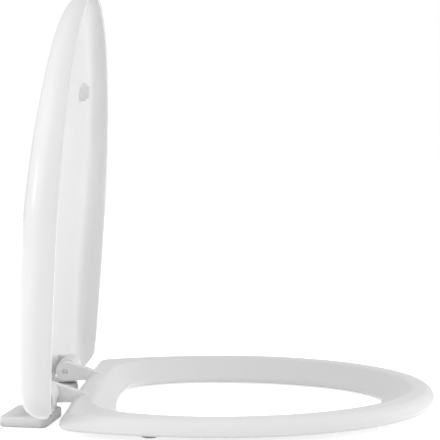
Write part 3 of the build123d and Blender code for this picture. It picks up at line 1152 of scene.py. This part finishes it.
    def _inside(self, shell: bpy.types.Object, whole: bpy.types.Object) -> None:
        """Add the hinge lugs and the buffer bosses, then bore the lugs.

        Args:
            shell: the shell that gets them.
            whole: the lid's form without a hollow, which trims them.
        """
        size, hinge = self.sizes, self.seat.hinge
        under = circle(size.lug_radius, ARCS.lug, math.pi, math.pi)
        lug = [*under, (size.lug_radius, size.crown_height), (-size.lug_radius, size.crown_height)]
        places = (-size.lug_at - size.lug_width, size.lug_at)
        push = (size.lug_width * MM, 0, 0)
        tools = [prism("lug", across_hinge(lug, x, hinge), push) for x in places]
        for side in Side:
            ring = circle(size.buffer_radius + size.boss_margin)
            middle = np.array([side.value * size.buffer_x, size.buffer_at])
            base = lift(ring + middle, size.boss)
            tools.append(prism("boss", to_frame(base, hinge), (0, 0, size.crown_height * MM)))
        for tool in tools:
            cut(tool, link_mesh("solid", whole.data.copy()), Cut.KEEP)
            cut(shell, tool, Cut.ADD)
        drop(whole)
        outlines = (double_d(size.spindle_slot, size.spindle_flats), circle(size.bush_hole))
        for x, outline in zip(places, outlines):
            bore(shell, outline, x, size.lug_width, hinge)

    def _buffers(self) -> bpy.types.Object:
        """Set a tapered buffer on each boss.

        Returns:
            The piece that holds both buffers.
        """
        size = self.sizes
        height = size.boss - size.ring_top - size.rest_gap
        slant = math.atan2(size.buffer_radius - size.buffer_tip, height)
        back = size.buffer_round * math.tan((QUARTER - slant) / 2)
        middle = np.array([size.buffer_tip - back, size.buffer_round - height])
        arc = middle + circle(size.buffer_round, ARCS.buffer, -slant, slant - QUARTER)
        profile = [(0.0, 0.0), (size.buffer_radius, 0.0), *map(tuple, arc), (0.0, -height)]
        spots = [(side.value * size.buffer_x, size.buffer_at, size.boss) for side in Side]
        turn, placed = self.seat.lid_turn, to_frame(np.array(spots), self.seat.hinge)
        points = [turn @ Vector(spot) for spot in placed]
        maker = Studs("lid_buffers_skin", profile, points, turn.to_euler())
        return maker.build(self.seat.finish("lid_buffers"))


@dataclass
class Studs:
    """Equal round studs set on points by geometry nodes."""

    name: str
    profile: Sequence[tuple[float, float]]
    points: Sequence[Vector]
    turn: Euler = field(default_factory=Euler)
    segments: int = 48

    def build(self, finish: bpy.types.Material) -> bpy.types.Object:
        """Turn one stud, set it on every point and bake the result.

        Args:
            finish: the material of all the studs.

        Returns:
            The piece that holds all the studs.
        """
        stud = self._stud()
        mesh = bpy.data.meshes.new(self.name)
        mesh.from_pydata([tuple(point) for point in self.points], [], [])
        piece = link_mesh(self.name, mesh)
        inputs = {"Stud": stud, "Turn": tuple(self.turn), "Finish": finish}
        tree = GeometryTree(f"{self.name}_set", inputs)
        info = tree.node("GeometryNodeObjectInfo")
        tree.fill(info, {"Object": tree.given["Stud"]})
        euler = tree.node("FunctionNodeEulerToRotation")
        tree.fill(euler, {"Euler": tree.given["Turn"]})
        copies = tree.node("GeometryNodeInstanceOnPoints")
        values = {
            "Points": tree.given["Geometry"],
            "Instance": info.outputs["Geometry"],
            "Rotation": euler.outputs["Rotation"],
        }
        tree.fill(copies, values)
        tree.run(piece, copies.outputs["Instances"])
        drop(stud)
        soften(piece, STUD_ANGLE)
        return piece

    def _stud(self) -> bpy.types.Object:
        """Turn the profile of (radius, height) about its own axis.

        Returns:
            One stud, upright at the origin.
        """
        rings = []
        for radius, height in self.profile:
            flat = circle(radius, self.segments) if radius else np.zeros((1, 2))
            rings.append(lift(flat, height))
        return mesh_piece("stud", np.vstack(rings) * MM, skin_faces(rings, closed=False))


@dataclass(frozen=True)
class RingSizes:
    """The seat ring."""

    outline: Shield = Shield(180.5, 181.0, 409.0, 152.0, 24.0, 23.0, 20.0)
    crest: Shield = Shield(154.5, 173.0, 383.0, 118.0, 50.0, 49.0, 60.0)
    hole: Shield = Shield(108.0, 165.0, 352.0, 78.0, 74.0, 66.0, 40.0)
    lip: Shield = Shield(112.0, 165.0, 356.0, 82.0, 70.0, 62.0, 44.0)
    under: Shield = Shield(166.5, 181.0, 395.0, 138.0, 38.0, 37.0, 34.0)
    top: float = 23.0
    edge_bottom: float = 8.5
    edge_radius: float = 13.0
    edge_round: float = 3.0
    crest_radius: float = 16.0
    hole_top: float = 6.5
    hole_round: float = 2.0
    lip_bottom: float = 1.5
    knuckle_at: float = 50.85
    knuckle_width: float = 12.0
    knuckle_radius: float = 10.5
    arm_reach: float = 44.0
    arm_drop: float = 6.5
    arm_radius: float = 3.0
    spindle_slot: float = 3.1
    spindle_flats: float = 4.6
    bush_hole: float = 5.53
    buffer_places: tuple[tuple[float, float], ...] = ((75.0, 345.0), (138.0, 110.0))
    buffer_radius: float = 9.0
    buffer_round: float = 1.5
    buffer_seat: float = 9.0
    buffer_gap: float = 0.2
    peg_radius: float = 3.0
    peg_hole: float = 3.03
    peg_length: float = 5.0


@dataclass
class Ring(Assembly):
    """The seat ring with its knuckles and buffers."""

    sizes: RingSizes = RingSizes()
    steps: LoopSteps = LoopSteps()
    round_steps: int = 6
    edge_steps: int = 12
    crest_steps: int = 7
    slope_steps: int = 5

    def build(self) -> None:
        """Model the ring and its buffers, and copy what turns with them."""
        rings = [*self._edge(), *self._slope(), *self._underside()]
        stacked = to_frame(np.vstack(rings), self.seat.hinge)
        piece = mesh_piece("seat_ring_skin", stacked, skin_faces(rings, closed=True))
        self._knuckles(piece)
        self._recesses(piece)
        soften(piece)
        self.made.append(Made(piece, "seat_ring", "ring"))
        self.made.append(Made(self._buffers(), "ring_buffers", "ring"))
        for node in ("ring_damper_rotor", "ring_bush"):
            self.cast(node, "ring")

    def _edge(self) -> list[np.ndarray]:
        """Round the outer edge, from below up to the crest.

        Returns:
            Rings of (x, ahead, z).
        """
        size = self.sizes
        edge, inward = size.outline.loop(self.steps)
        high = size.top - size.edge_radius
        low = size.edge_bottom + size.edge_round
        gap = size.edge_radius - size.edge_round
        inner = size.edge_radius - math.sqrt(gap**2 - (low - high) ** 2)
        meet = math.atan2(low - high, inner - size.edge_radius)
        rings = []
        for turn in np.linspace(3 * QUARTER, meet, self.round_steps):
            depth = inner + size.edge_round * math.cos(turn)
            rings.append(lift(edge + inward * depth, low + size.edge_round * math.sin(turn)))
        for turn in np.linspace(meet, QUARTER, self.edge_steps)[1:]:
            depth = size.edge_radius * (1 + math.cos(turn))
            rings.append(lift(edge + inward * depth, high + size.edge_radius * math.sin(turn)))
        return rings

    def _slope(self) -> list[np.ndarray]:
        """Lead the sitting face from the crest down to the hole's rounded rim.

        Returns:
            Rings of (x, ahead, z).
        """
        size = self.sizes
        crest, _ = size.crest.loop(self.steps)
        hole, inward = size.hole.loop(self.steps)
        down = hole - crest
        run = np.linalg.norm(down, axis=1)
        down = down / run[:, None]
        slope = np.arctan2(size.top - size.hole_top, run)
        start = size.crest_radius * np.tan(slope / 2)
        back = size.hole_round * np.tan((QUARTER - slope) / 2)
        first = start * np.cos(slope)
        last = run - back * np.cos(slope)
        rings = []
        for share in np.linspace(0.0, 1.0, self.crest_steps):
            turn = slope * share
            along = size.crest_radius * np.sin(turn) - start
            height = size.top - size.crest_radius * (1 - np.cos(turn))
            rings.append(lift(crest + down * along[:, None], height))
        for share in np.linspace(0.0, 1.0, self.slope_steps)[1:-1]:
            along = first + (last - first) * share
            rings.append(lift(crest + down * along[:, None], size.top - along * np.tan(slope)))
        for share in np.linspace(0.0, 1.0, self.round_steps):
            turn = slope + (QUARTER - slope) * share
            depth = size.hole_round * (np.sin(turn) - 1)
            height = size.hole_top - back + size.hole_round * np.cos(turn)
            rings.append(lift(hole + inward * depth[:, None], height))
        return rings

    def _underside(self) -> list[np.ndarray]:
        """Round the hole's lower rim and lead back under the ring.

        Returns:
            Rings of (x, ahead, z).
        """
        size = self.sizes
        hole, inward = size.hole.loop(self.steps)
        lip, _ = size.lip.loop(self.steps)
        under, _ = size.under.loop(self.steps)
        rings = []
        for turn in np.linspace(0.0, QUARTER, self.round_steps):
            depth = size.hole_round * (math.cos(turn) - 1)
            height = size.lip_bottom + size.hole_round * (1 - math.sin(turn))
            rings.append(lift(hole + inward * depth, height))
        rings.append(lift(lip, size.lip_bottom))
        rings.append(lift((lip + under) / 2, (size.lip_bottom + size.edge_bottom) / 2))
        rings.append(lift(under, size.edge_bottom))
        return rings

    def _knuckles(self, piece: bpy.types.Object) -> None:
        """Add the two knuckles with their arms, then bore them.

        Args:
            piece: the ring.
        """
        size, hinge = self.sizes, self.seat.hinge
        arm = np.array([-size.arm_reach, -size.arm_drop])
        tilt = math.atan2(arm[1], arm[0])
        lean = math.acos((size.knuckle_radius - size.arm_radius) / float(np.linalg.norm(arm)))
        head = circle(size.knuckle_radius, ARCS.knuckle, tilt + lean, 2 * (math.pi - lean))
        toe = arm + circle(size.arm_radius, ARCS.toe, tilt - lean, 2 * lean)
        places = (-size.knuckle_at - size.knuckle_width, size.knuckle_at)
        outlines = (circle(size.bush_hole), double_d(size.spindle_slot, size.spindle_flats))
        for x, outline in zip(places, outlines):
            base = across_hinge(np.vstack([head, toe]), x, hinge)
            cut(piece, prism("knuckle", base, (size.knuckle_width * MM, 0, 0)), Cut.ADD)
            bore(piece, outline, x, size.knuckle_width, hinge)

    def _spots(self) -> np.ndarray:
        """The (x, ahead) places of the four buffers."""
        places = self.sizes.buffer_places
        return np.array([(side.value * x, at) for side in Side for x, at in places])

    def _recesses(self, piece: bpy.types.Object) -> None:
        """Sink a seat and a peg hole for each buffer into the underside.

        Args:
            piece: the ring.
        """
        size, hinge = self.sizes, self.seat.hinge
        holes = (
            (size.buffer_radius + size.buffer_gap, -OVERRUN, size.buffer_seat),
            (size.peg_hole, size.buffer_seat - OVERRUN, size.buffer_seat + size.peg_length),
        )
        for spot in self._spots():
            for radius, low, high in holes:
                base = to_frame(lift(circle(radius) + spot, low), hinge)
                cut(piece, prism("recess", base, (0, 0, (high - low) * MM)), Cut.TAKE)

    def _buffers(self) -> bpy.types.Object:
        """Set a round buffer with a peg into each seat.

        Returns:
            The piece that holds all four buffers.
        """
        size = self.sizes
        foot = size.buffer_radius - size.buffer_round
        arc = circle(size.buffer_round, ARCS.buffer, -QUARTER, QUARTER)
        tip = size.buffer_seat + size.peg_length - size.buffer_gap
        profile = [(0.0, 0.0)]
        profile += [(foot + radius, size.buffer_round + height) for radius, height in arc]
        profile += [(size.buffer_radius, size.buffer_seat), (size.peg_radius, size.buffer_seat)]
        profile += [(size.peg_radius, tip), (0.0, tip)]
        points = to_frame(lift(self._spots(), 0.0), self.seat.hinge)
        maker = Studs("ring_buffers_skin", profile, [Vector(point) for point in points])
        return maker.build(self.seat.finish("ring_buffers"))


@dataclass(frozen=True)
class SpringSizes:
    """The folded leaf springs behind the latches."""

    start: float = 67.65
    fold: float = 1.35
    folds: int = 4
    half_width: float = 4.0
    strip: float = 0.4
    height: float = 2.4
    middle: float = 12.05
    channel_end: float = 67.35
    kept: float = 0.3


@dataclass
class Hinge(Assembly):
    """The posts with their dampers, pivot pins and latch springs."""

    sizes: SpringSizes = SpringSizes()
    springs: dict[Side, bpy.types.Object] = field(default_factory=dict, init=False)

    def build(self) -> None:
        """Copy the posts with what they hold, and fold the springs."""
        for part in ("damper_housing", "damper_cap", "damper_seal", "pivot_pin"):
            for owner in ("lid", "ring"):
                self.cast(f"{owner}_{part}", "hinge")
        for side in Side:
            self.cast(f"post_{side.word}", "hinge")
            node = f"latch_spring_{side.word}"
            self.springs[side] = self._spring(node, side)
            self.made.append(Made(self.springs[side], node, "hinge"))

    def dress(self) -> None:
        """Dress every piece, and give each spring a mesh of its own."""
        super().dress()
        for side, piece in self.springs.items():
            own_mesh(piece)

    def _path(self, side: Side) -> list[tuple[float, float, float]]:
        """Draw the zigzag that a spring is folded along.

        Args:
            side: which spring it is.

        Returns:
            The points of the folds, in metres.
        """
        size, middle = self.sizes, self.seat.hinge.y
        path = []
        for step in range(size.folds + 1):
            x = side.value * (size.start + size.fold * step) * MM
            path.append((x, middle + size.half_width * (-1) ** step * MM, size.middle * MM))
        return path

    def _spring(self, node: str, side: Side) -> bpy.types.Object:
        """Fold a strip along its path with geometry nodes.

        Args:
            node: the CAD node of the spring.
            side: which spring it is.

        Returns:
            The spring.
        """
        size = self.sizes
        mesh = bpy.data.meshes.new(f"{node}_skin")
        mesh.from_pydata(self._path(side), [(k, k + 1) for k in range(size.folds)], [])
        piece = link_mesh(f"{node}_skin", mesh)
        inputs = {
            "Strip": size.strip * MM,
            "Height": size.height * MM,
            "Finish": self.seat.finish(node),
        }
        tree = GeometryTree(f"{node}_fold", inputs)
        curve = tree.node("GeometryNodeMeshToCurve")
        tree.fill(curve, {"Mesh": tree.given["Geometry"]})
        upright = tree.node("GeometryNodeSetCurveNormal", mode="Z_UP")
        tree.fill(upright, {"Curve": curve.outputs["Curve"]})
        section = tree.node("GeometryNodeCurvePrimitiveQuadrilateral")
        tree.fill(section, {"Width": tree.given["Strip"], "Height": tree.given["Height"]})
        sweep = tree.node("GeometryNodeCurveToMesh")
        values = {
            "Curve": upright.outputs["Curve"],
            "Profile Curve": section.outputs["Curve"],
            "Fill Caps": True,
        }
        tree.fill(sweep, values)
        tree.run(piece, sweep.outputs["Mesh"])
        soften(piece)
        return piece


@dataclass
class Foot(Assembly):
    """One foot with its pad, spigot and threaded insert, and the latch above it."""

    side: Side

    def build(self) -> None:
        """Copy the pieces of the foot, and the latch that slides above it."""
        word = self.side.word
        for part in ("foot", "foot_pad", "spigot", "insert"):
            self.cast(f"{part}_{word}", f"{word}_foot")
        self.cast(f"release_button_{word}", f"{word}_button")


@dataclass(frozen=True)
class Shot:
    """The camera, fitted to the photo's angle."""

    place: tuple[float, float, float] = (-1.0694, -0.1932, 0.2412)
    target: tuple[float, float, float] = (0.0, -0.1946, 0.2001)
    lens_mm: float = 81.0
    sensor_mm: float = 36.0


@dataclass(frozen=True)
class Softbox:
    """A square area lamp that points at the seat, and whether gloss mirrors it."""

    name: str
    place: tuple[float, float, float]
    width: float
    watts: float
    mirrored: bool = False


@dataclass
class Studio:
    """The floor, the light and the camera around the seat."""

    shot: Shot = Shot()
    boxes: tuple[Softbox, ...] = (
        Softbox("key_light", (-0.62, 0.9, 0.8), width=0.9, watts=7.4),
        Softbox("fill_light", (-1.5, -0.9, 0.6), width=1.2, watts=4.4),
        Softbox("front_light", (0.3, -1.7, 0.5), width=1.2, watts=13.5),
        Softbox("glint_light", (-0.45, 1.3, 0.5), width=0.3, watts=0.7, mirrored=True),
    )
    room: float = 0.53
    sheen: float = 0.7
    floor_half: float = 6.0
    floor_level: float = -0.0004
    floor_grey: float = 0.8
    floor_glow: float = 0.72

    def build(self) -> None:
        """Set up the whole studio."""
        self._camera()
        self._floor()
        self._room()
        for box in self.boxes:
            self._lamp(box)

    @staticmethod
    def _aim(thing: bpy.types.Object, place: Sequence[float], target: Sequence[float]) -> None:
        """Put a camera or lamp in its place and point it at a target.

        Args:
            thing: the camera or lamp.
            place: where it stands.
            target: what it points at.
        """
        thing.location = place
        thing.rotation_mode = "QUATERNION"
        thing.rotation_quaternion = (Vector(target) - Vector(place)).to_track_quat("-Z", "Y")

    @staticmethod
    def _rays(graph: Graph) -> tuple[bpy.types.NodeSocket, bpy.types.NodeSocket]:
        """Tell rays apart.

        Args:
            graph: the graph of the floor's material or of the world.

        Returns:
            Sockets that are 1 for the camera's own rays, and for those sent on by gloss or glass.
        """
        path = graph.node("ShaderNodeLightPath").outputs
        sent_on = graph.math("MAXIMUM", path["Is Glossy Ray"], path["Is Transmission Ray"])
        return path["Is Camera Ray"], sent_on

    def _camera(self) -> None:
        """Put the camera at the photo's angle."""
        data = bpy.data.cameras.new("camera")
        data.lens = self.shot.lens_mm
        data.sensor_width = self.shot.sensor_mm
        camera = bpy.data.objects.new("camera", data)
        bpy.context.scene.collection.objects.link(camera)
        self._aim(camera, self.shot.place, self.shot.target)
        bpy.context.scene.camera = camera

    def _floor(self) -> None:
        """Lay a pale floor that reads white and keeps a faint shadow."""
        half, level, grey = self.floor_half, self.floor_level, self.floor_grey
        signs = ((-1, -1), (1, -1), (1, 1), (-1, 1))
        corners = [(x * half, y * half, level) for x, y in signs]
        floor = mesh_piece("floor", corners, [(0, 1, 2, 3)])
        material = bpy.data.materials.new("floor")
        material.use_nodes = True
        graph = Graph(material.node_tree)
        seen = graph.math("MAXIMUM", *self._rays(graph))
        values = {
            "Base Color": (grey, grey, grey, 1.0),
            "Roughness": 1.0,
            "Specular IOR Level": 0.0,
            "Emission Color": WHITE,
            "Emission Strength": graph.math("MULTIPLY", seen, self.floor_glow),
        }
        graph.fill(material.node_tree.nodes["Principled BSDF"], values)
        floor.data.materials.append(material)

    def _room(self) -> None:
        """Fill the room with soft light that the camera sees as white."""
        world = bpy.data.worlds.new("room")
        bpy.context.scene.world = world
        world.use_nodes = True
        graph = Graph(world.node_tree)
        camera, sent_on = self._rays(graph)
        sheen = graph.math("MULTIPLY", sent_on, self.sheen - self.room)
        seen = graph.math("MULTIPLY", camera, 1.0 - self.room)
        level = graph.math("ADD", graph.math("ADD", sheen, seen), self.room)
        graph.fill(world.node_tree.nodes["Background"], {"Color": WHITE, "Strength": level})

    def _lamp(self, box: Softbox) -> None:
        """Hang one softbox.

        Args:
            box: the softbox.
        """
        data = bpy.data.lights.new(box.name, "AREA")
        data.size = box.width
        data.energy = box.watts
        lamp = bpy.data.objects.new(box.name, data)
        lamp.visible_camera = False
        lamp.visible_glossy = box.mirrored
        bpy.context.scene.collection.objects.link(lamp)
        self._aim(lamp, box.place, self.shot.target)


def main() -> None:
    """Build and dress the seat."""
    logging.basicConfig(level=logging.INFO)
    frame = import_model()
    seat = Seat(frame, Palette())
    seat.dress_nodes()
    assemblies = (Lid(seat), Ring(seat), Hinge(seat), *(Foot(seat, side) for side in Side))
    for assembly in assemblies:
        assembly.build()
        assembly.dress()
        for made in assembly.made:
            faces = len(made.piece.data.polygons)
            log.info("%s: %d faces, %s", made.piece.name, faces, seat.slots[made.node])
    Studio().build()
    bpy.context.scene.view_settings.view_transform = "Standard"


if __name__ == "__main__":
    main()
